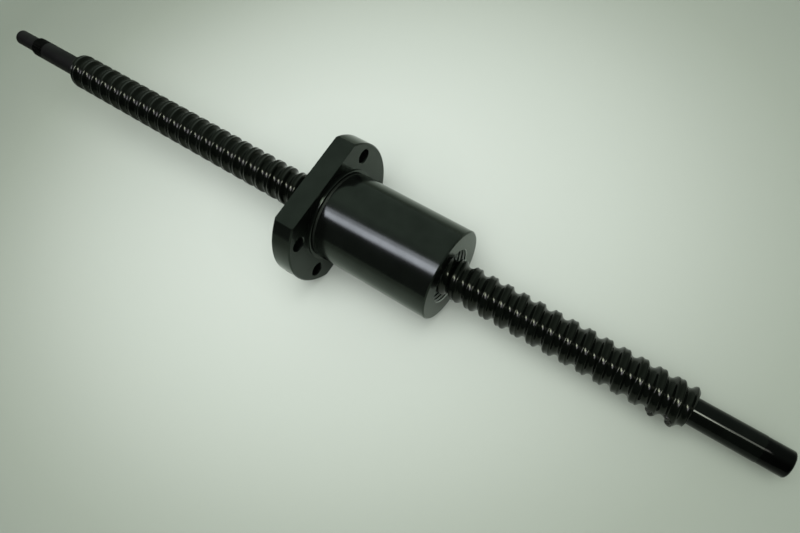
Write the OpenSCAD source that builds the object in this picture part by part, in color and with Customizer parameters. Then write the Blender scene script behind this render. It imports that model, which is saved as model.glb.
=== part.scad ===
// Ball screw with a flanged nut, two embedded return tubes and wiper seals.
// Sizes are millimetres. X runs along the screw, Z points up out of the flange's upper flat.
// The origin is on the screw axis, in the flange face that seats on the housing.

/* [Ball thread] */
// Lead of the right-hand thread
lead = 10; // [9.5:0.1:10.5]
// Outside diameter of the screw over its lands
screw_od = 24.4; // [24.2:0.1:24.6]
// Diameter of the circle through the ball centres
ball_circle_d = 24.8; // [24.7:0.05:25.2]
// Diameter of one ball
ball_d = 4.762; // [4.5:0.01:4.8]
// Room between a ball and the rolled groove of the screw
screw_groove_gap = 0.27; // [0.24:0.01:0.36]
// Room between a ball and the ground groove of the nut
nut_groove_gap = 0.37; // [0.34:0.01:0.5]
// Dip in the middle of each land, left by the thread rollers
land_dip = 0.12; // [0.05:0.01:0.2]
// Room between the screw's lands and the bore of the nut
nut_land_gap = 0.35; // [0.3:0.05:0.6]

/* [Screw length and ends] */
// Threaded length that stands out on the flange side of the mounting face
thread_left = 246; // [220:1:280]
// Threaded length that stands out on the body side of the mounting face
thread_right = 226; // [190:1:260]
// Chamfer at both ends of the ball thread
thread_chamfer = 1.6; // [1:0.1:2.2]
// Diameter of the left bearing journal
left_journal_d = 14; // [12:0.5:17]
// Length of the left bearing journal
left_journal_l = 42; // [30:1:60]
// Mean diameter of the lock nut thread beside the left journal
lock_thread_d = 13.4; // [11.4:0.1:16.4]
// Length of the lock nut thread
lock_thread_l = 9; // [6:0.5:20]
// Diameter of the left stub
stub_d = 11; // [8:0.5:11.5]
// Length of the left stub
stub_l = 23; // [15:1:40]
// Diameter of the right journal
right_journal_d = 15; // [13:0.5:17]
// Length of the right journal at full diameter
right_journal_l = 35.5; // [25:0.5:60]
// Diameter of the eased end of the right journal
right_end_d = 14.6; // [12.6:0.1:16.6]
// Length of the eased end of the right journal
right_end_l = 14.7; // [8:0.1:30]
// Chamfer at the tips of the screw
tip_chamfer = 1; // [0.5:0.1:1.5]
// Mouth diameter of the centre holes
centre_hole_d = 5; // [4:0.5:6]
// Drill diameter of the centre holes
centre_drill_d = 2.5; // [2:0.1:3]
// Depth of the centre holes
centre_hole_depth = 5.5; // [5:0.5:8]

/* [Nut body] */
// Outside diameter of the nut body
body_d = 58; // [57:0.5:62]
// Length of the body past the mounting face
body_l = 82; // [80:0.5:95]
// Chamfer at the free end of the body
body_chamfer = 0.8; // [0.4:0.1:1.2]
// Width of the relief between the flange and the body
relief_w = 3; // [2.4:0.1:3.6]
// Depth of the relief below the body
relief_depth = 0.8; // [0.4:0.1:1.2]
// Outer diameter of the fillet between the relief and the flange
fillet_d = 62.8; // [61:0.2:66]
// Width of that fillet along the screw
fillet_w = 1.7; // [1:0.1:2.2]

/* [Flange] */
// Diameter across the two round lobes
flange_d = 95; // [93:0.5:104]
// Distance between the two parallel flats
flange_flats = 71; // [66:0.5:80]
// Thickness of the flange
flange_t = 14; // [12.5:0.5:18]
// Chamfer round the flange
flange_chamfer = 0.8; // [0.4:0.1:1.4]
// Circle through the four mounting holes
bolt_circle_d = 78; // [75:0.5:80]
// Diameter of the mounting holes
bolt_hole_d = 9; // [6.6:0.2:9.4]
// Angle of the mounting holes above and below the lobes' middle
bolt_angle = 30; // [24:1:33]
// Countersink of the mounting holes
bolt_chamfer = 0.5; // [0.3:0.1:0.8]
// Tapping diameter of the grease port in the near lobe
port_d = 5; // [4:0.1:6]
// Depth of the tapped part of the grease port
port_l = 10; // [7:0.5:14]
// Height of the grease port above the screw axis
port_z = -4; // [-6:0.5:6]
// Diameter of the grease passage between the port and the bore
passage_d = 2; // [1.6:0.1:2.2]

/* [Ball circuits] */
// Free length between balls along their path
ball_gap = 0.1; // [0.08:0.01:0.3]

/* [Return tubes] */
// Room between a ball and the wall of the tube
tube_ball_gap = 0.22; // [0.15:0.01:0.26]
// Wall of the return tubes
tube_wall = 0.55; // [0.4:0.05:0.7]
// Bend radius of the tubes at their middle line
tube_bend_r = 7; // [6.5:0.1:7.5]
// Depth below the axis at which the tubes start
tube_start_z = 8.7; // [8.6:0.1:9.5]
// Room between a tube and its seat in the nut
tube_hole_gap = 0.05; // [0.02:0.01:0.1]
// Least land between the last return tube and the right recess
recess_land = 0.5; // [0.2:0.1:0.7]
// Wall of the nut between its ball groove and the tube pocket
pocket_wall = 4.3; // [4:0.1:4.6]
// Room between a tube and its strap
clamp_gap = 0.05; // [0.03:0.01:0.1]
// Room round the tubes in the pocket
pocket_margin = 0.8; // [0.6:0.1:1.2]
// Corner radius of the pocket
pocket_corner_r = 4; // [3:0.5:5]
// Thickness of the clamp straps
clamp_t = 1.2; // [1:0.1:1.5]
// Width of the clamp straps
clamp_w = 8; // [7:0.5:9]
// Diameter of the clamp screws
clamp_screw_d = 3; // [2.5:0.1:3.2]
// Head diameter of the clamp screws
clamp_head_d = 5.5; // [5.2:0.1:5.8]
// Head height of the clamp screws
clamp_head_h = 2.4; // [2:0.1:2.8]
// Depth of the clamp screws in the nut
clamp_screw_l = 4; // [3.5:0.1:4.2]

/* [Wipers and snap rings] */
// Diameter of the seal recess at each end of the nut
recess_d = 34; // [33.6:0.1:34.6]
// Mouth diameter of the seal recess
mouth_d = 35.4; // [34.8:0.1:36]
// Depth of the seal recess at the flange end
left_recess_l = 7.2; // [7:0.1:8]
// Depth of the seal recess at the free end, which also holds a tapped stretch
right_recess_l = 12; // [11.8:0.1:13]
// Thickness of the wipers
wiper_t = 3.6; // [3.2:0.1:3.8]
// Room between a wiper and the screw
wiper_gap = 0.35; // [0.3:0.05:0.5]
// Room between a wiper and its recess
wiper_seat_gap = 0.05; // [0.02:0.01:0.1]
// Wire width of the snap rings along the screw
ring_w = 1.2; // [1:0.1:1.4]
// Radial height of the snap rings
ring_h = 2.4; // [2:0.1:3]
// Depth of the snap ring grooves in the recess wall
ring_groove_depth = 1; // [0.8:0.1:1.2]
// Running room of the snap rings in their grooves
ring_gap = 0.05; // [0.03:0.01:0.08]
// Open angle of the snap rings
ring_open_angle = 40; // [30:5:60]
// Diameter of the pins that stop the wipers turning
pin_d = 2; // [1.6:0.1:2.2]
// Wall between those pins and the recess
pin_land = 0.15; // [0.1:0.05:0.3]
// Depth of the pins in the nut
pin_depth = 3; // [2.5:0.5:3.5]
// Pitch of the tapped stretch in the mouth at the free end
mouth_pitch = 2; // [1.8:0.1:2.2]
// Number of thread turns in that mouth
mouth_turns = 3; // [1:1:3]
// Depth of that thread
mouth_thread_depth = 1; // [0.6:0.1:1.2]

/* [Hidden] */
// Steps per turn of the screw thread, of the nut groove and of the wiper bores
screw_steps = 18;
nut_steps = 24;
wiper_steps = 18;
round_fn = 96;
small_fn = 32;
// How far cutters run past a face, and blind holes past the piece they hold.
cut = 1;
hole_over = 0.3;
// Small edge break on the body, and the room round screws and pins in their holes.
edge_break = 0.3;
pin_gap = 0.02;
wiper_pin_gap = 0.05;
screw_gap = 0.03;
strap_hole_gap = 0.15;
// Wall between the grease passage and the floor of the seal recess.
passage_land = 0.2;

screw_r = screw_od / 2;
ball_r = ball_d / 2;
path_r = ball_circle_d / 2;
lead_angle = atan(lead / (PI * ball_circle_d));
screw_groove_r = ball_r + screw_groove_gap;
nut_groove_r = ball_r + nut_groove_gap;
nut_bore_r = screw_r + nut_land_gap;
nut_thread_x0 = left_recess_l - flange_t;
nut_thread_x1 = body_l - right_recess_l;

// Two circuits share the room between the mounting face and the right recess. Each has as
// many whole turns as fit, and ends in a half turn, so that its balls start and end where
// they run straight down. The first return leg stands one lead from the face.
leg_x0 = lead;
tube_id = ball_d + 2 * tube_ball_gap;
tube_r = tube_id / 2 + tube_wall;
pick_dx = tube_start_z * tan(lead_angle);
leads_room = (nut_thread_x1 - recess_land - tube_r - pick_dx - leg_x0) / lead;
loaded_turns = floor(leads_room / 2 - 0.75) + 0.5;
circuit_leads = ceil(loaded_turns);
turn_l = lead / sin(lead_angle);
loaded_n = floor(loaded_turns * turn_l / (ball_d + ball_gap));

// The return path: slanting pick-up, leg, bend, bridge, bend, leg, slanting pick-up.
pocket_z = path_r + nut_groove_r + pocket_wall;
bridge_z = pocket_z + tube_r + 2 * tube_hole_gap;
leg_dx = loaded_turns * lead + 2 * pick_dx;
bridge_l = norm([leg_dx, ball_circle_d]);
bridge_angle = -atan(ball_circle_d / leg_dx);
pick_l = tube_start_z / cos(lead_angle);
leg_l = bridge_z - tube_bend_r - tube_start_z;
bend_l = PI * tube_bend_r / 2;
straight_l = bridge_l - 2 * tube_bend_r;
return_l = 2 * (pick_l + leg_l + bend_l) + straight_l;
return_n = floor(return_l / (ball_d + 2 * ball_gap));
pocket_x0 = leg_x0 - pick_dx - tube_r - pocket_margin;
pocket_x1 = leg_x0 + circuit_leads * lead + leg_dx - pick_dx + tube_r + pocket_margin;
pocket_half_w = path_r + tube_r + pocket_margin;

clamp_foot_y = tube_r + clamp_t + clamp_head_d / 2 + 0.3;
clamp_end_y = clamp_foot_y + clamp_head_d / 2 + 0.6;
socket_af = clamp_screw_d * 0.8;
socket_depth = clamp_head_h / 2;

// The seals: each recess holds a wiper on its floor, then a snap ring in a groove.
wiper_r = recess_d / 2 - wiper_seat_gap;
ring_groove_w = ring_w + 2 * ring_gap;
ring_groove_r = recess_d / 2 + ring_groove_depth;
ring_out_r = ring_groove_r - ring_gap;
left_wiper_x = nut_thread_x0 - wiper_t;
right_wiper_x = nut_thread_x1;
ring_lead_in = 0.15;
left_ring_x = left_wiper_x - ring_lead_in - ring_groove_w;
right_ring_x = right_wiper_x + wiper_t + ring_lead_in;
pin_circle_r = recess_d / 2 - pin_d / 2 - pin_land;
pin_in_wiper = wiper_t * 0.8;
pin_angle_left = 0;
pin_angle_right = 108;
ring_angle = 200;
bolt_y = bolt_circle_d / 2 * cos(bolt_angle);
bolt_z = bolt_circle_d / 2 * sin(bolt_angle);

// The tapped mouth, in shares of its pitch: place of the first groove from the free end,
// width of a groove, and width of the flat at its root.
mouth_first = 0.65;
mouth_groove_w = 0.84;
mouth_root_w = 0.17;

// A round piece about the screw axis, from an outline of [x, radius] points.
module turned(outline) {
    rotate([90, 0, 90]) rotate_extrude($fn = round_fn)
        polygon([for (p = outline) [p[1], p[0]]]);
}

// A round bar or hole along X, from x0 to x1.
module bar_x(x0, x1, r, fn = round_fn) {
    translate([x0, 0, 0]) rotate([0, 90, 0]) cylinder(h = x1 - x0, r = r, $fn = fn);
}

// One pitch of a rolled thread: round groove, raised land edges and a dip between them.
// grow is added all round, for a bore that clears the thread.
function thread_outline(grow = 0) =
    let (
        gr = screw_groove_r - grow,
        sr = screw_r + grow,
        edge = acos((path_r - sr) / gr),
        arc = [for (a = [-edge, -edge / 2, 0, edge / 2, edge])
            [gr * sin(a) / cos(lead_angle), path_r - gr * cos(a)]]
    )
    concat(arc, [[lead / 2, sr - land_dip]]);

// A thread as one closed solid: the outline of one pitch goes round the axis, and its last
// edge meets its first edge one turn later. Both ends are closed by a fan to the axis.
module thread_solid(outline, x0, turns, steps) {
    n = len(outline);
    last = turns * steps;
    points = concat(
        [for (i = [0 : last], p = outline)
            let (a = 360 * i / steps)
            [x0 + p[0] + lead * i / steps, p[1] * cos(a), p[1] * sin(a)]],
        [[x0 + lead / 2, 0, 0], [x0 + lead * (turns + 0.5), 0, 0]]
    );
    fan0 = (last + 1) * n;
    fan1 = fan0 + 1;
    function at(i, j) = j < n ? i * n + j : (i + steps) * n + j - n;
    faces = concat(
        [for (i = [0 : last - 1], j = [0 : n - 1])
            if (j < n - 1 || i < last - steps) [at(i, j), at(i, j + 1), at(i + 1, j)]],
        [for (i = [0 : last - 1], j = [0 : n - 1])
            if (j < n - 1 || i < last - steps) [at(i + 1, j), at(i, j + 1), at(i + 1, j + 1)]],
        [for (i = [0 : steps - 1]) [fan0, at(i, 0), at(i + 1, 0)]],
        [for (j = [0 : n - 1]) [fan0, at(0, j + 1), at(0, j)]],
        [for (i = [last - steps : last - 1]) [fan1, at(i + 1, n - 1), at(i, n - 1)]],
        [for (j = [0 : n - 2]) [fan1, at(last, j), at(last, j + 1)]],
        [[fan1, at(last - steps, n - 1), at(last, 0)]]
    );
    polyhedron(points = points, faces = faces, convexity = 10);
}

// A helical rib with flat ends that cuts the ball groove into the nut's bore.
module groove_cutter(x0, turns) {
    half_angle = 95;
    outline = [for (k = [-5 : 2 : 5])
        let (a = half_angle * k / 5)
        [nut_groove_r * sin(a) / cos(lead_angle), path_r + nut_groove_r * cos(a)]];
    n = len(outline);
    last = turns * nut_steps;
    points = [for (i = [0 : last], p = outline)
        let (a = 360 * i / nut_steps)
        [x0 + p[0] + lead * i / nut_steps, p[1] * cos(a), p[1] * sin(a)]];
    faces = concat(
        [for (i = [0 : last - 1], j = [0 : n - 1])
            [i * n + j, i * n + (j + 1) % n, (i + 1) * n + j]],
        [for (i = [0 : last - 1], j = [0 : n - 1])
            [(i + 1) * n + j, i * n + (j + 1) % n, (i + 1) * n + (j + 1) % n]],
        [[for (j = [n - 1 : -1 : 0]) j]],
        [[for (j = [0 : n - 1]) last * n + j]]
    );
    polyhedron(points = points, faces = faces, convexity = 10);
}

// Start of a thread that has to cover everything right of x, and its turns up to x1.
function thread_from(x) = lead * (floor(x / lead) - 1);
function turns_to(x0, x1) = ceil((x1 - x0) / lead + 0.5);

module screw_shaft() {
    x_left = -thread_left - left_journal_l - lock_thread_l - stub_l;
    x_right = thread_right + right_journal_l + right_end_l;
    thread_x0 = thread_from(-thread_left);
    thread_turns = turns_to(thread_x0, thread_right);
    trim_r = screw_r + 1;
    trim_drop = trim_r - (screw_r - thread_chamfer);
    x_lock = x_left + stub_l;
    x_journal = x_lock + lock_thread_l;
    color([0.09, 0.1, 0.1]) difference() {
        union() {
            intersection() {
                thread_solid(thread_outline(), thread_x0, thread_turns, screw_steps);
                turned([
                    [-thread_left, 0],
                    [-thread_left, trim_r - trim_drop],
                    [-thread_left + trim_drop, trim_r],
                    [thread_right - trim_drop, trim_r],
                    [thread_right, trim_r - trim_drop],
                    [thread_right, 0]
                ]);
            }
            turned([
                [x_left, 0],
                [x_left, stub_d / 2 - tip_chamfer],
                [x_left + tip_chamfer, stub_d / 2],
                [x_lock, stub_d / 2],
                [x_lock + (lock_thread_d - stub_d) / 2, lock_thread_d / 2],
                [x_journal, lock_thread_d / 2],
                [x_journal, left_journal_d / 2],
                [-thread_left + cut, left_journal_d / 2],
                [-thread_left + cut, 0]
            ]);
            turned([
                [thread_right - cut, 0],
                [thread_right - cut, right_journal_d / 2],
                [thread_right + right_journal_l, right_journal_d / 2],
                [thread_right + right_journal_l, right_end_d / 2],
                [x_right - tip_chamfer, right_end_d / 2],
                [x_right, right_end_d / 2 - tip_chamfer],
                [x_right, 0]
            ]);
        }
        translate([x_left, 0, 0]) centre_hole();
        translate([x_right, 0, 0]) mirror([1, 0, 0]) centre_hole();
    }
}

// A 60 degree centre hole that opens at the origin and runs along +X.
module centre_hole() {
    cone_l = (centre_hole_d - centre_drill_d) / 2 / tan(30);
    turned([
        [-cut, 0],
        [-cut, centre_hole_d / 2],
        [0, centre_hole_d / 2],
        [cone_l, centre_drill_d / 2],
        [centre_hole_depth, centre_drill_d / 2],
        [centre_hole_depth, 0]
    ]);
}

// The outside of the nut before its flats, holes and pocket are cut.
module nut_blank() {
    body_r = body_d / 2;
    relief_r = body_r - relief_depth;
    flange_r = flange_d / 2;
    fillet = [for (a = [0 : 15 : 90])
        [fillet_w * (1 - cos(a)), fillet_d / 2 - (fillet_d / 2 - relief_r) * sin(a)]];
    turned(concat(
        [
            [-flange_t, 0],
            [-flange_t, flange_r - flange_chamfer],
            [-flange_t + flange_chamfer, flange_r],
            [-flange_chamfer, flange_r],
            [0, flange_r - flange_chamfer]
        ],
        fillet,
        [
            [relief_w, relief_r],
            [relief_w, body_r - edge_break],
            [relief_w + edge_break, body_r],
            [body_l - body_chamfer, body_r],
            [body_l, body_r - body_chamfer],
            [body_l, 0]
        ]
    ));
}

// The bore, the two seal recesses with their ring grooves, and the tapped mouth.
module nut_hollow() {
    recess_r = recess_d / 2;
    mouth_ease = (mouth_d - recess_d) / 2;
    bar_x(-flange_t - cut, body_l + cut, nut_bore_r);
    turned([
        [-flange_t - cut, 0],
        [-flange_t - cut, mouth_d / 2],
        [-flange_t, mouth_d / 2],
        [-flange_t + mouth_ease, recess_r],
        [nut_thread_x0, recess_r],
        [nut_thread_x0, 0]
    ]);
    turned([
        [nut_thread_x1, 0],
        [nut_thread_x1, recess_r],
        [body_l - mouth_ease, recess_r],
        [body_l, mouth_d / 2],
        [body_l + cut, mouth_d / 2],
        [body_l + cut, 0]
    ]);
    bar_x(left_ring_x, left_ring_x + ring_groove_w, ring_groove_r);
    bar_x(right_ring_x, right_ring_x + ring_groove_w, ring_groove_r);
    for (i = [0 : mouth_turns - 1]) {
        x = body_l - mouth_pitch * (i + mouth_first);
        half = mouth_pitch * mouth_groove_w / 2;
        root_half = mouth_pitch * mouth_root_w / 2;
        turned([
            [x - half, 0],
            [x - half, recess_r],
            [x - root_half, recess_r + mouth_thread_depth],
            [x + root_half, recess_r + mouth_thread_depth],
            [x + half, recess_r],
            [x + half, 0]
        ]);
    }
}

// The pocket milled into the underside for the return tubes.
module tube_pocket() {
    w = 2 * (pocket_half_w - pocket_corner_r);
    l = pocket_x1 - pocket_x0 - 2 * pocket_corner_r;
    for (dx = [0, l], dy = [-w / 2, w / 2])
        translate([pocket_x0 + pocket_corner_r + dx, dy, -body_d / 2 - cut])
            cylinder(h = body_d / 2 + cut - pocket_z, r = pocket_corner_r, $fn = small_fn);
    translate([pocket_x0, -w / 2, -body_d / 2 - cut])
        cube([pocket_x1 - pocket_x0, w, body_d / 2 + cut - pocket_z]);
    translate([pocket_x0 + pocket_corner_r, -pocket_half_w, -body_d / 2 - cut])
        cube([l, 2 * pocket_half_w, body_d / 2 + cut - pocket_z]);
}

// The holes of one circuit: slanting pick-ups beside the groove, then the seat of the tube.
module circuit_holes(x) {
    for (side = [1, -1]) {
        x_top = side > 0 ? x : x + loaded_turns * lead;
        translate([x_top, side * path_r, 0]) rotate([0, 180 + side * lead_angle, 0])
            cylinder(h = pick_l + hole_over, d = tube_id, $fn = small_fn);
    }
    at_bridge(x) {
        tube_form(tube_r + tube_hole_gap, 0);
        clamp_holes();
    }
}

// Places its children over the middle of a circuit's bridge, with X along the tube.
module at_bridge(x) {
    translate([x + loaded_turns * lead / 2, 0, 0]) rotate([0, 0, bridge_angle]) children();
}

module nut_body() {
    groove_x0 = lead * floor((nut_thread_x0 - nut_groove_r) / lead);
    groove_turns = ceil((nut_thread_x1 + nut_groove_r - groove_x0) / lead);
    color([0.07, 0.08, 0.08]) difference() {
        nut_blank();
        for (side = [1, -1])
            translate([-flange_t / 2, 0, side * (flange_flats + flange_d) / 2])
                cube([flange_t + 2 * cut, flange_d + 2 * cut, flange_d], center = true);
        nut_hollow();
        intersection() {
            groove_cutter(groove_x0, groove_turns);
            bar_x(nut_thread_x0 - cut, nut_thread_x1 + cut, recess_d / 2 - edge_break);
        }
        for (y = [-bolt_y, bolt_y], z = [-bolt_z, bolt_z]) translate([0, y, z]) bolt_hole();
        grease_port();
        tube_pocket();
        for (c = [0, 1]) circuit_holes(leg_x0 + c * circuit_leads * lead);
        wiper_pin_hole(nut_thread_x0, 1, pin_angle_left);
        wiper_pin_hole(nut_thread_x1, -1, pin_angle_right);
    }
}

module bolt_hole() {
    turned([
        [-flange_t - cut, 0],
        [-flange_t - cut, bolt_hole_d / 2 + bolt_chamfer],
        [-flange_t, bolt_hole_d / 2 + bolt_chamfer],
        [-flange_t + bolt_chamfer, bolt_hole_d / 2],
        [-bolt_chamfer, bolt_hole_d / 2],
        [0, bolt_hole_d / 2 + bolt_chamfer],
        [cut, bolt_hole_d / 2 + bolt_chamfer],
        [cut, 0]
    ]);
}

// The grease port runs in from the near lobe. Its passage goes on to the ball thread, just
// past the floor of the seal recess.
module grease_port() {
    rim_y = sqrt(pow(flange_d / 2, 2) - port_z * port_z);
    translate([-flange_t / 2, -rim_y - cut, port_z]) rotate([-90, 0, 0])
        cylinder(h = port_l + cut, d = port_d, $fn = small_fn);
    translate([nut_thread_x0 + passage_d / 2 + passage_land, -rim_y + port_l - cut, port_z])
        rotate([-90, 0, 0])
            cylinder(h = rim_y - port_l - nut_bore_r + 2 * cut, d = passage_d, $fn = small_fn);
}

module clamp_holes() {
    for (side = [-1, 1])
        translate([0, side * clamp_foot_y, -pocket_z - cut])
            cylinder(h = clamp_screw_l + hole_over + cut, d = clamp_screw_d, $fn = small_fn);
}

module wiper_pin_hole(x, way, angle) {
    x0 = way > 0 ? x - cut : x - pin_depth - hole_over;
    rotate([angle, 0, 0]) translate([0, pin_circle_r, 0])
        bar_x(x0, x0 + pin_depth + cut + hole_over, pin_d / 2 + pin_gap, small_fn);
}

// The balls under load follow the groove from one return leg to the other.
module loaded_balls(x) {
    color([0.62, 0.63, 0.65]) for (k = [0 : loaded_n - 1]) {
        a = 360 * loaded_turns * (k + 0.5) / loaded_n;
        translate([x + lead * a / 360, path_r * cos(a), path_r * sin(a)])
            sphere(r = ball_r, $fn = small_fn);
    }
}

// A point of the return path, at distance u from the start of the loaded turns,
// as [x, y, z] with x from the first leg. The second half mirrors the first.
function return_point(u) =
    u > return_l / 2
        ? let (p = return_point(return_l - u)) [loaded_turns * lead - p[0], -p[1], p[2]]
        : let (
            on_leg = u - pick_l,
            on_bend = on_leg - leg_l,
            bend_a = min(on_bend / bend_l, 1) * 90,
            along = on_bend <= 0
                ? 0
                : tube_bend_r * (1 - cos(bend_a)) + max(0, on_bend - bend_l)
        )
        on_leg < 0
            ? [-u * sin(lead_angle), path_r, -u * cos(lead_angle)]
            : [
                -pick_dx + along * cos(bridge_angle),
                path_r + along * sin(bridge_angle),
                on_bend <= 0 ? -tube_start_z - on_leg : tube_bend_r * (1 - sin(bend_a)) - bridge_z
            ];

module return_balls(x) {
    color([0.62, 0.63, 0.65]) for (k = [0 : return_n - 1])
        translate([x, 0, 0] + return_point(return_l * (k + 0.5) / return_n))
            sphere(r = ball_r, $fn = small_fn);
}

// One bent return tube: leg, bend, bridge, bend and leg in one slanting upright plane.
module return_tube(x) {
    color([0.55, 0.56, 0.56]) at_bridge(x) {
        difference() {
            tube_form(tube_r, 0);
            tube_form(tube_id / 2, cut);
        }
    }
}

module tube_form(r, extra) {
    for (turn = [0, 180]) rotate([0, 0, turn]) {
        translate([bridge_l / 2, 0, tube_bend_r - bridge_z])
            cylinder(h = leg_l + extra, r = r, $fn = small_fn);
        translate([straight_l / 2, 0, tube_bend_r - bridge_z])
            rotate([90, 0, 0]) rotate([0, 0, -90])
                rotate_extrude(angle = 90, $fn = round_fn)
                    translate([tube_bend_r, 0]) circle(r = r, $fn = small_fn);
        translate([0, 0, -bridge_z]) rotate([0, 90, 0])
            cylinder(h = straight_l / 2, r = r, $fn = small_fn);
    }
}

// A bent strap over the middle of a bridge, with a screwed foot on each side.
module tube_clamp(x) {
    in_r = tube_r + clamp_gap;
    out_r = in_r + clamp_t;
    color([0.2, 0.21, 0.21]) at_bridge(x) difference() {
        translate([-clamp_w / 2, 0, 0]) rotate([90, 0, 90]) linear_extrude(clamp_w) {
            difference() {
                union() {
                    translate([0, -bridge_z]) circle(r = out_r, $fn = round_fn);
                    translate([-out_r, -bridge_z]) square([2 * out_r, bridge_z - pocket_z]);
                    translate([-clamp_end_y, -pocket_z - clamp_t]) square([2 * clamp_end_y, clamp_t]);
                }
                translate([0, -bridge_z]) circle(r = in_r, $fn = round_fn);
                translate([-in_r, -bridge_z]) square([2 * in_r, bridge_z - pocket_z + cut]);
                translate([-clamp_end_y, -pocket_z]) square([2 * clamp_end_y, 2 * out_r]);
            }
        }
        for (side = [-1, 1])
            translate([0, side * clamp_foot_y, -pocket_z - clamp_t - cut])
                cylinder(h = clamp_t + 2 * cut, r = clamp_screw_d / 2 + strap_hole_gap, $fn = small_fn);
    }
}

// Two socket head screws that hold one strap.
module clamp_screws(x) {
    color([0.12, 0.12, 0.13]) at_bridge(x) for (side = [-1, 1])
        translate([0, side * clamp_foot_y, -pocket_z - clamp_t]) difference() {
            union() {
                cylinder(h = clamp_t + clamp_screw_l, r = clamp_screw_d / 2 - screw_gap, $fn = small_fn);
                translate([0, 0, -clamp_head_h])
                    cylinder(h = clamp_head_h, d = clamp_head_d, $fn = small_fn);
            }
            translate([0, 0, -clamp_head_h - cut])
                cylinder(h = socket_depth + cut, d = socket_af / cos(30), $fn = 6);
        }
}

// A moulded wiper whose bore follows the thread of the screw.
module wiper(x, angle) {
    thread_x0 = thread_from(x);
    thread_turns = turns_to(thread_x0, x + wiper_t);
    color([0.05, 0.05, 0.055]) difference() {
        bar_x(x, x + wiper_t, wiper_r);
        thread_solid(thread_outline(wiper_gap), thread_x0, thread_turns, wiper_steps);
        rotate([angle, 0, 0]) translate([0, pin_circle_r, 0])
            bar_x(x - cut, x + wiper_t + cut, pin_d / 2 + wiper_pin_gap, small_fn);
    }
}

module wiper_pin(x0, angle) {
    color([0.5, 0.5, 0.52]) rotate([angle, 0, 0]) translate([0, pin_circle_r, 0])
        bar_x(x0, x0 + pin_depth + pin_in_wiper, pin_d / 2, small_fn);
}

// An open ring that snaps into its groove in front of a wiper.
module snap_ring(x) {
    color([0.3, 0.31, 0.32]) translate([x + ring_gap, 0, 0])
        rotate([ring_angle, 0, 0]) rotate([90, 0, 90])
            rotate_extrude(angle = 360 - ring_open_angle, $fn = round_fn)
                translate([ring_out_r - ring_h, 0]) square([ring_h, ring_w]);
}

screw_shaft();
nut_body();
loaded_balls(leg_x0);  // loaded_balls_a
loaded_balls(leg_x0 + circuit_leads * lead);  // loaded_balls_b
return_balls(leg_x0);  // return_balls_a
return_balls(leg_x0 + circuit_leads * lead);  // return_balls_b
return_tube(leg_x0);  // return_tube_a
return_tube(leg_x0 + circuit_leads * lead);  // return_tube_b
tube_clamp(leg_x0);  // tube_clamp_a
tube_clamp(leg_x0 + circuit_leads * lead);  // tube_clamp_b
clamp_screws(leg_x0);  // clamp_screws_a
clamp_screws(leg_x0 + circuit_leads * lead);  // clamp_screws_b
wiper(left_wiper_x, pin_angle_left);  // wiper_left
wiper(right_wiper_x, pin_angle_right);  // wiper_right
wiper_pin(nut_thread_x0 - pin_in_wiper, pin_angle_left);  // wiper_pin_left
wiper_pin(nut_thread_x1 - pin_depth, pin_angle_right);  // wiper_pin_right
snap_ring(left_ring_x);  // snap_ring_left
snap_ring(right_ring_x);  // snap_ring_right
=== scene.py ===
import math

import bmesh
import bpy
from mathutils import Matrix, Vector


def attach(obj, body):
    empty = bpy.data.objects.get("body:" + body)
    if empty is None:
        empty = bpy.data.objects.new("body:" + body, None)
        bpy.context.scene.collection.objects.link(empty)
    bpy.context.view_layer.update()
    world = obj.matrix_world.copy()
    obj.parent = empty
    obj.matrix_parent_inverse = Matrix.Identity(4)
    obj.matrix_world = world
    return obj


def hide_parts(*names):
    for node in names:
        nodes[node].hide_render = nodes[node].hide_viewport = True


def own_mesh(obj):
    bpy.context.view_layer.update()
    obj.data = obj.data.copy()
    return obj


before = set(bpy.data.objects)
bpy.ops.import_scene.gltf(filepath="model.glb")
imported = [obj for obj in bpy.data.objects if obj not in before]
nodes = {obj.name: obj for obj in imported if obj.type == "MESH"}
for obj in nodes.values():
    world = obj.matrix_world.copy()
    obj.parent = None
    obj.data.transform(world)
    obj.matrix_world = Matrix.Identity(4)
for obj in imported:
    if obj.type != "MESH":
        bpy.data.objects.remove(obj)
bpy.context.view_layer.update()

mm = 0.001
weld = 2e-6  # points nearer than this, in metres, are one
scene = bpy.context.scene
scene.view_settings.view_transform = "Standard"

# the camera stands where the photograph was taken from
camera = {
    "place": (180.645, -98.324, 350.617),
    "right": (0.81899514, 0.55091197, -0.16044614),
    "up": (-0.46671223, 0.80224218, 0.37227299),
    "back": (0.33380631, -0.23000759, 0.9141498),
    "lens": 29.05, "sensor": 36, "near": 10,
}


def setCamera(view):
    lensData = bpy.data.cameras.new("eye")
    lensData.lens = view["lens"]
    lensData.sensor_width = view["sensor"]
    lensData.clip_start = view["near"] * mm
    eye = bpy.data.objects.new("eye", lensData)
    scene.collection.objects.link(eye)
    turned = Matrix((view["right"], view["up"], view["back"])).transposed()
    eye.matrix_world = Matrix.Translation(Vector(view["place"]) * mm) @ turned.to_4x4()
    scene.camera = eye


setCamera(camera)
print("camera set")


# small hand tools

def pickNothing():
    bpy.ops.object.select_all(action="DESELECT")


def takeHold(piece):
    pickNothing()
    piece.select_set(True)
    bpy.context.view_layer.objects.active = piece


def openPiece(piece):
    takeHold(piece)
    bpy.ops.object.mode_set(mode="EDIT")
    bpy.ops.mesh.select_all(action="SELECT")


def closePiece():
    bpy.ops.object.mode_set(mode="OBJECT")


def applyAll(piece):
    takeHold(piece)
    for step in list(piece.modifiers):
        bpy.ops.object.modifier_apply(modifier=step.name)


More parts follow.
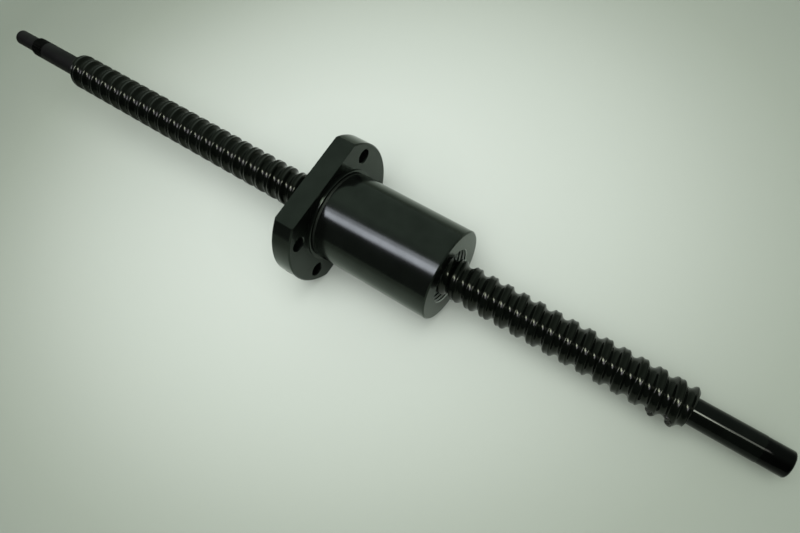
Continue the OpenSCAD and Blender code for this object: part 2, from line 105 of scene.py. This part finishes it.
def cleanSkin(piece, smoothBelow=32):
    openPiece(piece)
    bpy.ops.mesh.remove_doubles(threshold=weld)
    bpy.ops.mesh.normals_make_consistent(inside=False)
    closePiece()
    bpy.ops.object.shade_smooth_by_angle(angle=math.radians(smoothBelow))


def drawOutline(name, points):
    # one point, then the outline is pulled out of it, in the plane y = 0
    pickNothing()
    bpy.ops.mesh.primitive_plane_add(size=mm)
    piece = bpy.context.object
    piece.name = piece.data.name = name
    openPiece(piece)
    bpy.ops.mesh.merge(type="CENTER")
    bpy.ops.transform.translate(value=(points[0][0] * mm, 0, points[0][1] * mm))
    for here, there in zip(points, points[1:]):
        step = ((there[0] - here[0]) * mm, 0, (there[1] - here[1]) * mm)
        bpy.ops.mesh.extrude_vertices_move(TRANSFORM_OT_translate={"value": step})
    closePiece()
    return piece


def turnPiece(name, points, steps=96, smoothBelow=32):
    # turned on the screw's axis, from points of (along, radius)
    piece = drawOutline(name, points)
    openPiece(piece)
    bpy.ops.mesh.spin(steps=steps, angle=math.tau, center=(0, 0, 0), axis=(1, 0, 0), use_auto_merge=True)
    closePiece()
    cleanSkin(piece, smoothBelow)
    return piece


def capEnd(piece, side, reach):
    # draws the open end on this side of the middle together in a point
    openPiece(piece)
    bpy.ops.mesh.select_mode(type="EDGE")
    bpy.ops.mesh.select_all(action="DESELECT")
    shape = bmesh.from_edit_mesh(piece.data)
    middle = sum(point.co.x for point in shape.verts) / len(shape.verts)
    for edge in shape.edges:
        edge.select_set(edge.is_boundary and (edge.verts[0].co.x - middle) * side > 0)
    bmesh.update_edit_mesh(piece.data)
    bpy.ops.mesh.extrude_edges_move(TRANSFORM_OT_translate={"value": (reach * side * mm, 0, 0)})
    bpy.ops.mesh.select_mode(type="VERT")
    bpy.ops.mesh.merge(type="CENTER")
    closePiece()


winding = {"capReach": 4, "mouldSteps": 128}


def windThread(name, outline, cut, envelope):
    # winds the outline along the axis, closes it and trims it to the envelope
    lead, turns, steps = cut["lead"], cut["turns"], cut["steps"]
    piece = drawOutline(name, outline)
    wind = piece.modifiers.new("wind", "SCREW")
    wind.axis = "X"
    wind.angle = math.tau
    wind.screw_offset = lead * mm
    wind.iterations = turns
    wind.steps = wind.render_steps = steps
    applyAll(piece)
    openPiece(piece)
    bpy.ops.mesh.remove_doubles(threshold=weld)
    closePiece()
    for side in (-1, 1):
        capEnd(piece, side, winding["capReach"])
    openPiece(piece)
    bpy.ops.mesh.normals_make_consistent(inside=False)
    closePiece()
    mould = turnPiece(name + "Mould", envelope, winding["mouldSteps"])
    trim = piece.modifiers.new("trim", "BOOLEAN")
    trim.operation = "INTERSECT"
    trim.solver = "MANIFOLD"
    trim.object = mould
    applyAll(piece)
    bpy.data.objects.remove(mould)
    cleanSkin(piece)
    return piece


# finishes

def finishNodes(name):
    paint = bpy.data.materials.new(name)
    paint.use_nodes = True
    tree = paint.node_tree
    shader = tree.nodes["Principled BSDF"]
    place = tree.nodes.new("ShaderNodeTexCoord")
    return paint, tree, shader, place.outputs["Object"]


def stretched(tree, place, stretch):
    mapping = tree.nodes.new("ShaderNodeMapping")
    mapping.inputs["Scale"].default_value = stretch
    tree.links.new(place, mapping.inputs["Vector"])
    return mapping.outputs["Vector"]


def noiseOf(tree, place, scale, detail=4, rough=0.55):
    noise = tree.nodes.new("ShaderNodeTexNoise")
    noise.inputs["Scale"].default_value = scale
    noise.inputs["Detail"].default_value = detail
    noise.inputs["Roughness"].default_value = rough
    tree.links.new(place, noise.inputs["Vector"])
    return noise.outputs["Fac"]


def rampOf(tree, value, stops):
    ramp = tree.nodes.new("ShaderNodeValToRGB")
    ends = ramp.color_ramp.elements
    while len(ends) < len(stops):
        ends.new(0.5)
    for end, (where, colour) in zip(ends, stops):
        end.position = where
        end.color = (*colour, 1)
    tree.links.new(value, ramp.inputs["Fac"])
    return ramp.outputs["Color"]


def rangeOf(tree, value, low, high, start=0.3, stop=0.7):
    spread = tree.nodes.new("ShaderNodeMapRange")
    spread.inputs["From Min"].default_value = start
    spread.inputs["From Max"].default_value = stop
    spread.inputs["To Min"].default_value = low
    spread.inputs["To Max"].default_value = high
    tree.links.new(value, spread.inputs["Value"])
    return spread.outputs["Result"]


def mathOf(tree, operation, first, second):
    result = tree.nodes.new("ShaderNodeMath")
    result.operation = operation
    tree.links.new(first, result.inputs[0])
    tree.links.new(second, result.inputs[1])
    return result.outputs["Value"]


def bumpOf(tree, value, depth, under=None):
    bump = tree.nodes.new("ShaderNodeBump")
    bump.inputs["Strength"].default_value = 1
    bump.inputs["Distance"].default_value = depth * mm
    tree.links.new(value, bump.inputs["Height"])
    if under is not None:
        tree.links.new(under, bump.inputs["Normal"])
    return bump.outputs["Normal"]


def toneWith(tree, shader, value, look, start=0.3, stop=0.7):
    # from the look's dark tone to its light one, between two values of the noise
    tone = rampOf(tree, value, [(start, look["dark"]), (stop, look["light"])])
    tree.links.new(tone, shader.inputs["Base Color"])


def steelFinish(name, look):
    # mottled tone, oily and dry patches in the gloss, and marks left by turning or grinding
    paint, tree, shader, place = finishNodes(name)
    toneWith(tree, shader, noiseOf(tree, place, look["patches"], detail=5), look, stop=0.72)
    film = noiseOf(tree, stretched(tree, place, look["filmStretch"]), look["film"], detail=3)
    tree.links.new(rangeOf(tree, film, *look["gloss"]), shader.inputs["Roughness"])
    marks = noiseOf(tree, stretched(tree, place, look["markStretch"]), look["marks"], detail=3, rough=0.6)
    grain = noiseOf(tree, place, look["grain"], detail=2)
    skin = bumpOf(tree, marks, look["markDepth"])
    skin = bumpOf(tree, grain, look["grainDepth"], skin)
    tree.links.new(skin, shader.inputs["Normal"])
    shader.inputs["Metallic"].default_value = look["metal"]
    shader.inputs["Specular IOR Level"].default_value = look["shine"]
    shader.inputs["Specular Tint"].default_value = (*look["shineTint"], 1)
    return paint


blackened = {
    "dark": (0.0010, 0.0014, 0.0010), "light": (0.0026, 0.0034, 0.0026),
    "patches": 90, "film": 38, "filmStretch": (1, 1, 1), "gloss": (0.13, 0.19),
    "marks": 260, "markStretch": (7, 0.35, 0.35), "markDepth": 0.002,
    "grain": 1500, "grainDepth": 0.001, "metal": 0, "shine": 0.46, "shineTint": (1, 1, 1),
}
brightSteel = {
    "dark": (0.42, 0.43, 0.43), "light": (0.62, 0.62, 0.6),
    "patches": 120, "film": 60, "filmStretch": (1, 1, 1), "gloss": (0.16, 0.3),
    "marks": 400, "markStretch": (1, 1, 1), "markDepth": 0.002,
    "grain": 1600, "grainDepth": 0.001, "metal": 1, "shine": 0.5, "shineTint": (1, 1, 1),
}
groundBlack = steelFinish("groundBlack", {
    **blackened, "dark": (0.030, 0.0355, 0.0305), "light": (0.040, 0.047, 0.0405),
    "gloss": (0.13, 0.18), "metal": 0.93, "shineTint": (0.84, 0.87, 0.84)})
rolledBlack = steelFinish("rolledBlack", {
    **blackened, "gloss": (0.08, 0.17), "markStretch": (1.5, 0.6, 0.6), "grain": 900,
    "grainDepth": 0.003, "shine": 0.22, "shineTint": (0.93, 1, 0.82)})
polishedBlack = steelFinish("polishedBlack", {
    **blackened, "gloss": (0.06, 0.1), "markDepth": 0.0006, "grainDepth": 0.0004,
    "shine": 0.18, "shineTint": (0.93, 1, 0.93)})
dulledBlack = steelFinish("dulledBlack", {
    **blackened, "dark": (0.0003, 0.0004, 0.0003), "light": (0.0010, 0.0013, 0.0010),
    "gloss": (0.09, 0.15), "shine": 0.12})
dryBlack = steelFinish("dryBlack", {
    **blackened, "dark": (0.0015, 0.0015, 0.0014), "light": (0.0042, 0.0043, 0.004),
    "gloss": (0.42, 0.6), "shine": 0.13})
threadBlack = steelFinish("threadBlack", {
    **blackened, "dark": (0.0004, 0.0005, 0.0004), "light": (0.0012, 0.0015, 0.0012),
    "gloss": (0.3, 0.45), "shine": 0.08})
clampSteel = steelFinish("clampSteel", {**blackened, "light": (0.03, 0.032, 0.03), "gloss": (0.3, 0.44)})
screwBlack = steelFinish("screwBlack", {**blackened, "gloss": (0.24, 0.36), "grain": 1100})
springBlack = steelFinish("springBlack", {
    **blackened, "dark": (0.05, 0.053, 0.048), "light": (0.17, 0.18, 0.165), "gloss": (0.26, 0.4)})
ballSteel = steelFinish("ballSteel", {
    **brightSteel, "gloss": (0.05, 0.09), "markDepth": 0.0002, "grainDepth": 0.0001})
tubeSteel = steelFinish("tubeSteel", brightSteel)
pinSteel = steelFinish("pinSteel", {**brightSteel, "gloss": (0.12, 0.2)})


def plasticFinish(name, look):
    # moulded plastic: nearly even tone, fine moulded grain, a little wear
    paint, tree, shader, place = finishNodes(name)
    wear = noiseOf(tree, place, look["patches"])
    toneWith(tree, shader, wear, look)
    tree.links.new(rangeOf(tree, wear, *look["gloss"]), shader.inputs["Roughness"])
    grain = noiseOf(tree, place, look["grain"], detail=3)
    tree.links.new(bumpOf(tree, grain, look["grainDepth"]), shader.inputs["Normal"])
    return paint


wiperBlack = plasticFinish("wiperBlack", {
    "dark": (0.010, 0.011, 0.010), "light": (0.018, 0.019, 0.018), "patches": 150,
    "gloss": (0.34, 0.5), "grain": 2400, "grainDepth": 0.006})


def distanceFrom(tree, place, keep):
    # length of what is kept of the place: out from the axis, or along it
    pick = tree.nodes.new("ShaderNodeVectorMath")
    pick.operation = "MULTIPLY"
    pick.inputs[1].default_value = keep
    tree.links.new(place, pick.inputs[0])
    length = tree.nodes.new("ShaderNodeVectorMath")
    length.operation = "LENGTH"
    tree.links.new(pick.outputs["Vector"], length.inputs[0])
    return length.outputs["Value"]


def skinNodes(paint):
    # the nodes of a made finish, and how far out and how far along its surface lies
    tree = paint.node_tree
    place = tree.nodes["Texture Coordinate"].outputs["Object"]
    out = distanceFrom(tree, place, (0, 1, 1))
    along = distanceFrom(tree, place, (1, 0, 0))
    return tree, tree.nodes["Principled BSDF"].inputs, out, along


def softEdge(tree, distance, edge, soft, before, after):
    return rangeOf(tree, distance, before, after, (edge - soft) * mm, (edge + soft) * mm)


def paintLitMouth(paint, cut):
    # painted light: the lands inside the nut's mouth get a pale tone and lose their metal, so they show lit
    # against the darker grooves round them
    tree, sockets, out, along = skinNodes(paint)
    inside = softEdge(tree, out, cut["outer"], cut["soft"], before=1, after=0)
    deep = softEdge(tree, along, cut["from"], cut["soft"], before=0, after=1)
    share = mathOf(tree, "MULTIPLY", inside, deep)
    mixed = tree.nodes.new("ShaderNodeMix")
    mixed.data_type = "RGBA"
    mixed.inputs["B"].default_value = (*cut["tone"], 1)
    tree.links.new(share, mixed.inputs["Factor"])
    tree.links.new(sockets["Base Color"].links[0].from_socket, mixed.inputs["A"])
    tree.links.new(mixed.outputs["Result"], sockets["Base Color"])
    metal = sockets["Metallic"]
    tree.links.new(rangeOf(tree, share, metal.default_value, 0, start=0, stop=1), metal)


def dullRelief(paint, relief):
    # the undercut next to the flange kept its dry, unground skin
    tree, sockets, out, along = skinNodes(paint)
    gloss = sockets["Roughness"]
    inside = softEdge(tree, out, relief["outer"], relief["soft"], before=relief["gloss"], after=0)
    near = softEdge(tree, along, relief["to"], relief["soft"], before=1, after=0)
    dulled = mathOf(tree, "MULTIPLY", inside, near)
    tree.links.new(mathOf(tree, "MAXIMUM", dulled, gloss.links[0].from_socket), gloss)


# painted light: a pale tone on the mouth's lands, inside this radius and beyond this distance along
paintLitMouth(groundBlack, {"outer": 17.78, "from": 74.6, "soft": 0.06, "tone": (0.34, 0.39, 0.34)})
dullRelief(groundBlack, {"outer": 28.6, "to": 3.1, "soft": 0.05, "gloss": 0.62})
print("finishes mixed")

nutLooks = {
    "nut_body": groundBlack, "loaded_balls_a": ballSteel, "loaded_balls_b": ballSteel,
    "return_balls_a": ballSteel, "return_balls_b": ballSteel, "return_tube_a": tubeSteel,
    "return_tube_b": tubeSteel, "tube_clamp_a": clampSteel, "tube_clamp_b": clampSteel,
    "clamp_screws_a": screwBlack, "clamp_screws_b": screwBlack, "wiper_left": wiperBlack,
    "wiper_right": wiperBlack, "wiper_pin_left": pinSteel, "wiper_pin_right": pinSteel,
    "snap_ring_left": springBlack, "snap_ring_right": springBlack,
}
for name, paint in nutLooks.items():
    nodes[name].material_slots[0].material = paint
print("nut dressed")

# low collar between the flange and the relief, its corner rubbed round
collar = {
    "inner": 28, "outer": 30.6, "width": 1.5, "sunk": 0.2,
    "corner": 0.45, "ease": (0.5, 0.14), "steps": 192, "smoothBelow": 40,
}


def turnCollar(form):
    near, far, low, high = -form["sunk"], form["width"], form["inner"], form["outer"]
    corner = form["corner"]
    wide, slight = (corner * share for share in form["ease"])
    return turnPiece("flangeCollar", [
        (near, low), (near, high), (far - corner, high), (far - wide, high - slight),
        (far - slight, high - wide), (far, high - corner), (far, low), (near, low)],
        form["steps"], form["smoothBelow"])


flangeCollar = turnCollar(collar)
flangeCollar.data.materials.append(groundBlack)
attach(flangeCollar, "nut")
print("collar turned")

# the screw

ballThread = {
    "lead": 10, "turns": 49, "steps": 56, "first": -257.5,
    "crest": 12.2, "pitchCircle": 12.45, "grooveR": 2.7, "archOffset": 0.06,
    "grooveAngles": (0, 11, 22, 33, 44, 54),
    "land": (  # from the groove's edge to mid-land: distance from the groove's middle, radius
        (2.36, 11.19), (2.58, 11.52), (2.82, 11.81), (3.08, 12.02), (3.3, 12.13), (3.46, 12.18),
        (3.6, 12.2), (3.74, 12.18), (3.92, 12.11), (4.25, 11.98), (4.6, 11.91), (5, 11.89)),
    "ends": (-246, 226), "endChamfer": 1.6, "room": 0.05,
}


def oneTurnOutline(cut):
    # one lead of the thread at the top of the screw, from mid-land to mid-land
    half = []
    for angle in cut["grooveAngles"]:
        turn = math.radians(angle)
        along = max(0, cut["grooveR"] * math.sin(turn) - cut["archOffset"])
        half.append((along, cut["pitchCircle"] - cut["grooveR"] * math.cos(turn)))
    half += cut["land"]
    both = [(-along, radius) for along, radius in reversed(half[1:])] + half
    return [(cut["first"] + along, radius) for along, radius in both]


def threadMould(cut):
    low, high = cut["ends"]
    outer, chamfer = cut["crest"] + cut["room"], cut["endChamfer"]
    return [(low, 0), (low, outer - chamfer), (low + chamfer, outer),
            (high - chamfer, outer), (high, outer - chamfer), (high, 0)]


screwThread = windThread("screwThread", oneTurnOutline(ballThread), ballThread, threadMould(ballThread))
print("ball thread wound", len(screwThread.data.polygons))

journals = {
    "rightR": 7.5, "rightEnd": 261.5, "tailR": 7.3, "tailEnd": 275.8,
    "leftR": 7, "leftEnd": -285, "stubR": 5.5, "stubStart": -297, "stubEnd": -318.5,
    "inThread": 2, "tailIn": 1, "stubIn": 0.5,  # how far each reaches into what carries it
    "edge": 0.15, "tipChamfer": 1.2, "tipEase": (0.4, 0.35),
    "centreMouthR": 2.5, "centreDrillR": 1.25, "centreDepth": 5.5, "drillPoint": 0.7, "mouthAngle": 60,
}


def centreHole(form, tip, inward):
    # drilled centre with its conical mouth, from its bottom out to the end face
    mouth, drill = form["centreMouthR"], form["centreDrillR"]
    cone = (mouth - drill) / math.tan(math.radians(form["mouthAngle"] / 2))
    bottom = tip + inward * form["centreDepth"]
    return [(bottom, 0), (bottom - inward * form["drillPoint"], drill),
            (tip + inward * cone, drill), (tip, mouth)]


def journalOutline(start, end, radius, edge):
    # plain journal, the edge of its end face broken
    back = math.copysign(edge, end - start)
    return [(start, 0), (start, radius), (end - back, radius), (end, radius - edge), (end, 0)]


def turnJournals(form):
    low, high = ballThread["ends"]
    inThread, edge, tip = form["inThread"], form["edge"], form["tipChamfer"]
    easeAlong, easeIn = (tip * share for share in form["tipEase"])
    right = turnPiece("rightJournal", journalOutline(high - inThread, form["rightEnd"], form["rightR"], edge))
    start, end, radius = form["rightEnd"] - form["tailIn"], form["tailEnd"], form["tailR"]
    tail = turnPiece("rightTail", [
        (start, 0), (start, radius), (end - tip, radius), (end - easeAlong, radius - easeIn),
        (end, radius - tip), *reversed(centreHole(form, end, -1))])
    left = turnPiece("leftJournal", journalOutline(low + inThread, form["leftEnd"], form["leftR"], edge))
    start, end, radius = form["stubStart"] + form["stubIn"], form["stubEnd"], form["stubR"]
    stub = turnPiece("leftStub", [
        *centreHole(form, end, 1), (end, radius - tip), (end + tip, radius), (start, radius), (start, 0)])
    return right, tail, left, stub


rightJournal, rightTail, leftJournal, leftStub = turnJournals(journals)

lockThread = {
    "crest": 7, "root": 6.4, "lead": 1, "flat": 0.07, "turns": 15, "steps": 48,
    "start": -297, "end": -284.9, "cone": 1.45,
}


def lockOutline(cut):
    # one small vee of the lock nut's thread
    middle, half, flat = cut["start"] - cut["lead"], cut["lead"] / 2, cut["flat"]
    crest, root = cut["crest"], cut["root"]
    return [(middle - half, crest), (middle - half + flat, crest), (middle - flat / 2, root),
            (middle + flat / 2, root), (middle + half - flat, crest), (middle + half, crest)]


def lockMould(cut, shoulder):
    start, end, crest = cut["start"], cut["end"], cut["crest"]
    return [(start, 0), (start, shoulder), (start + cut["cone"], crest), (end, crest), (end, 0)]


lockBand = windThread(
    "lockBand", lockOutline(lockThread), lockThread, lockMould(lockThread, journals["stubR"]))
print("journals turned")

screwLooks = (
    (screwThread, rolledBlack), (rightJournal, polishedBlack), (rightTail, dulledBlack),
    (leftJournal, dryBlack), (leftStub, dryBlack), (lockBand, threadBlack),
)
for piece, paint in screwLooks:
    piece.data.materials.clear()
    piece.data.materials.append(paint)
    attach(piece, "screw")
    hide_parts("screw_shaft")
print("screw dressed")

# grease pushed out of the nut, left in the last grooves and under them
grease = {
    "lumps": (  # along, degrees round the screw, radius out, size
        (208.6, 172, 10.9, 1.9), (210.4, 186, 11.3, 2.1), (211.2, 200, 11.0, 1.7),
        (217.9, 160, 10.9, 1.8), (219.3, 175, 11.6, 2.0), (220.6, 190, 11.4, 1.8),
        (199.6, 190, 10.8, 1.6), (200.6, 205, 10.9, 1.5)),
    "segments": 24, "rings": 16, "voxel": 0.35, "ripple": 2.2, "wave": 0.9, "easing": 4,
    "smoothBelow": 60, "keep": 0.37,
    "dark": (0.006, 0.007, 0.005), "light": (0.022, 0.024, 0.019), "gloss": (0.22, 0.5),
    "streaks": 420, "streakStretch": (1, 1.6, 0.8), "streakDepth": 0.05,
}


def dropGrease(form):
    lumps = []
    for along, turn, out, size in form["lumps"]:
        pickNothing()
        angle = math.radians(turn)
        bpy.ops.mesh.primitive_uv_sphere_add(
            segments=form["segments"], ring_count=form["rings"], radius=size * mm,
            location=(along * mm, out * math.cos(angle) * mm, out * math.sin(angle) * mm))
        lumps.append(bpy.context.object)
    pickNothing()
    for lump in lumps:
        lump.select_set(True)
    piece = bpy.context.view_layer.objects.active = lumps[0]
    bpy.ops.object.join()
    piece.name = piece.data.name = "grease"
    bpy.ops.object.transform_apply(location=True, rotation=True, scale=True)
    blend = piece.modifiers.new("blend", "REMESH")
    blend.mode = "VOXEL"
    blend.voxel_size = form["voxel"] * mm
    ripple = bpy.data.textures.new("ripple", "CLOUDS")
    ripple.noise_scale = form["ripple"] * mm
    push = piece.modifiers.new("push", "DISPLACE")
    push.texture = ripple
    push.strength = form["wave"] * mm
    ease = piece.modifiers.new("ease", "SMOOTH")
    ease.iterations = form["easing"]
    applyAll(piece)
    cleanSkin(piece, form["smoothBelow"])
    return piece


def greaseFinish(look):
    paint, tree, shader, place = finishNodes("darkGrease")
    streaks = noiseOf(tree, stretched(tree, place, look["streakStretch"]), look["streaks"], detail=5)
    toneWith(tree, shader, streaks, look)
    tree.links.new(rangeOf(tree, streaks, *look["gloss"]), shader.inputs["Roughness"])
    tree.links.new(bumpOf(tree, streaks, look["streakDepth"]), shader.inputs["Normal"])
    return paint


greaseLumps = dropGrease(grease)
greaseLumps.data.materials.append(greaseFinish(grease))
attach(greaseLumps, "screw")
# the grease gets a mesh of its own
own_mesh(greaseLumps)
print("grease dropped", len(greaseLumps.data.polygons))

# bench, rising from the edge of the flange's lower flat to the body's free end
bench = {
    "size": 9000, "height": -35.5, "rise": 6.5 / 81.2,
    "centre": (-29, 20), "spread": (420, 353, 420), "turn": 23.5, "reach": 6,
    "poolTones": (  # painted light: the bench's tone is brightest round the centre as a painted pool of light, darker outward as its painted falloff, and paler again far off; distance from the centre in spreads, tone
        (0, (0.605, 0.666, 0.605)), (0.143, (0.602, 0.662, 0.6)), (0.238, (0.596, 0.654, 0.591)),
        (0.333, (0.552, 0.609, 0.545)), (0.429, (0.502, 0.558, 0.493)), (0.524, (0.442, 0.493, 0.429)),
        (0.619, (0.37, 0.417, 0.355)), (0.714, (0.311, 0.355, 0.294)), (0.81, (0.274, 0.315, 0.26)),
        (1, (0.238, 0.278, 0.225)), (1.25, (0.245, 0.286, 0.232)), (3, (0.33, 0.385, 0.312)),
        (6, (0.44, 0.51, 0.415))),
    "rough": 0.8, "shine": 0.2,
}


def layBench(form):
    pickNothing()
    bpy.ops.mesh.primitive_plane_add(
        size=form["size"] * mm, location=(0, 0, form["height"] * mm),
        rotation=(0, -math.atan(form["rise"]), 0))
    top = bpy.context.object
    top.name = "bench"
    bpy.ops.object.transform_apply(location=True, rotation=True, scale=True)
    # painted light: the bench's colour brightens toward the pool's centre and darkens outward
    paint, tree, shader, place = finishNodes("benchLightPool")
    mapping = tree.nodes.new("ShaderNodeMapping")
    mapping.vector_type = "TEXTURE"
    mapping.inputs["Location"].default_value = Vector((*form["centre"], form["height"])) * mm
    mapping.inputs["Rotation"].default_value = (0, 0, math.radians(form["turn"]))
    mapping.inputs["Scale"].default_value = Vector(form["spread"]) * mm
    tree.links.new(place, mapping.inputs["Vector"])
    # a ramp ends at 1, so distances are divided by the last one
    poolDistance = distanceFrom(tree, mapping.outputs["Vector"], (1 / form["reach"],) * 3)
    poolTones = [(distance / form["reach"], tone) for distance, tone in form["poolTones"]]
    tree.links.new(rampOf(tree, poolDistance, poolTones), shader.inputs["Base Color"])
    shader.inputs["Roughness"].default_value = form["rough"]
    shader.inputs["Specular IOR Level"].default_value = form["shine"]
    top.data.materials.append(paint)


layBench(bench)

# lamps and room: each strip hangs 1 mm over the last, because strips at one height hide each other
light = {
    "height": 1000,
    "strips": (  # from, to, width, glow, colour
        ((-700, -590), (-60, -312), 450, 3.5, (1.05, 0.96, 1.2)),
        ((-700, -640), (-60, -335), 225, 4.5, (1.05, 0.96, 1.2)),
        ((-60, -308), (395, -92), 190, 18, (1, 1, 0.9)),
        ((-60, -308), (480, -52), 190, 5.5, (1, 1, 0.9)),
        ((480, -52), (640, 24), 190, 6, (1, 1, 0.9))),
    "sky": {"place": (150, -150, 1400), "size": 1300, "glow": 3.2},
    "ambient": (0.55, 0.557, 0.543), "far": (0.25, 0.29, 0.235), "glossTint": (0.84, 1, 0.87),
    # brightness in the gloss at the first and last direction, and these directions
    "glossAcross": (0.05, 0.42, -0.4, 0.2), "glossAlong": (1.25, 0.6, -0.6, 0.3),
}


def hangLamp(name, length, width, glow, colour):
    bulb = bpy.data.lights.new(name, "AREA")
    bulb.shape = "RECTANGLE"
    bulb.size, bulb.size_y = length * mm, width * mm
    bulb.energy = glow * math.pi * bulb.size * bulb.size_y
    bulb.color = colour
    lamp = bpy.data.objects.new(name, bulb)
    scene.collection.objects.link(lamp)
    return lamp


def hangStrips(room):
    # the long lamp that shows in the black steel, brighter in its middle
    for number, (start, stop, width, glow, colour) in enumerate(room["strips"]):
        start, stop = Vector(start), Vector(stop)
        strip = hangLamp(f"strip{number}", (stop - start).length, width, glow, colour)
        middle = (start + stop) / 2
        strip.location = (middle.x * mm, middle.y * mm, (room["height"] + number) * mm)
        strip.rotation_euler = (0, 0, math.atan2((stop - start).y, (stop - start).x))
        strip.visible_diffuse = False


def hangSky(sky):
    # broad soft lamp that shades the bench a little on the near side of the part
    lamp = hangLamp("sky", sky["size"], sky["size"], sky["glow"], (1, 1, 1))
    lamp.location = Vector(sky["place"]) * mm
    lamp.rotation_euler = (-lamp.location).to_track_quat("-Z", "Y").to_euler()
    lamp.visible_glossy = False


def paintRoom(room):
    # the room as soft light, as what the gloss shows, and as what is seen behind the bench
    world = bpy.data.worlds.new("room")
    scene.world = world
    world.use_nodes = True
    tree = world.node_tree
    tree.nodes.clear()
    out = tree.nodes.new("ShaderNodeOutputWorld")
    path = tree.nodes.new("ShaderNodeLightPath")
    soft, gloss, seen = (tree.nodes.new("ShaderNodeBackground") for _ in range(3))
    for background, tone in ((soft, "ambient"), (gloss, "glossTint"), (seen, "far")):
        background.inputs["Color"].default_value = (*room[tone], 1)
    place = tree.nodes.new("ShaderNodeTexCoord")
    parts = tree.nodes.new("ShaderNodeSeparateXYZ")
    tree.links.new(place.outputs["Generated"], parts.inputs["Vector"])
    across = rangeOf(tree, parts.outputs["Y"], *room["glossAcross"])
    along = rangeOf(tree, parts.outputs["X"], *room["glossAlong"])
    tree.links.new(mathOf(tree, "MULTIPLY", across, along), gloss.inputs["Strength"])
    shown = soft.outputs["Background"]
    for ray, background in (("Is Glossy Ray", gloss), ("Is Camera Ray", seen)):
        mix = tree.nodes.new("ShaderNodeMixShader")
        tree.links.new(path.outputs[ray], mix.inputs["Fac"])
        tree.links.new(shown, mix.inputs[1])
        tree.links.new(background.outputs["Background"], mix.inputs[2])
        shown = mix.outputs["Shader"]
    tree.links.new(shown, out.inputs["Surface"])


hangStrips(light)
hangSky(light["sky"])
paintRoom(light)
print("bench and light set")
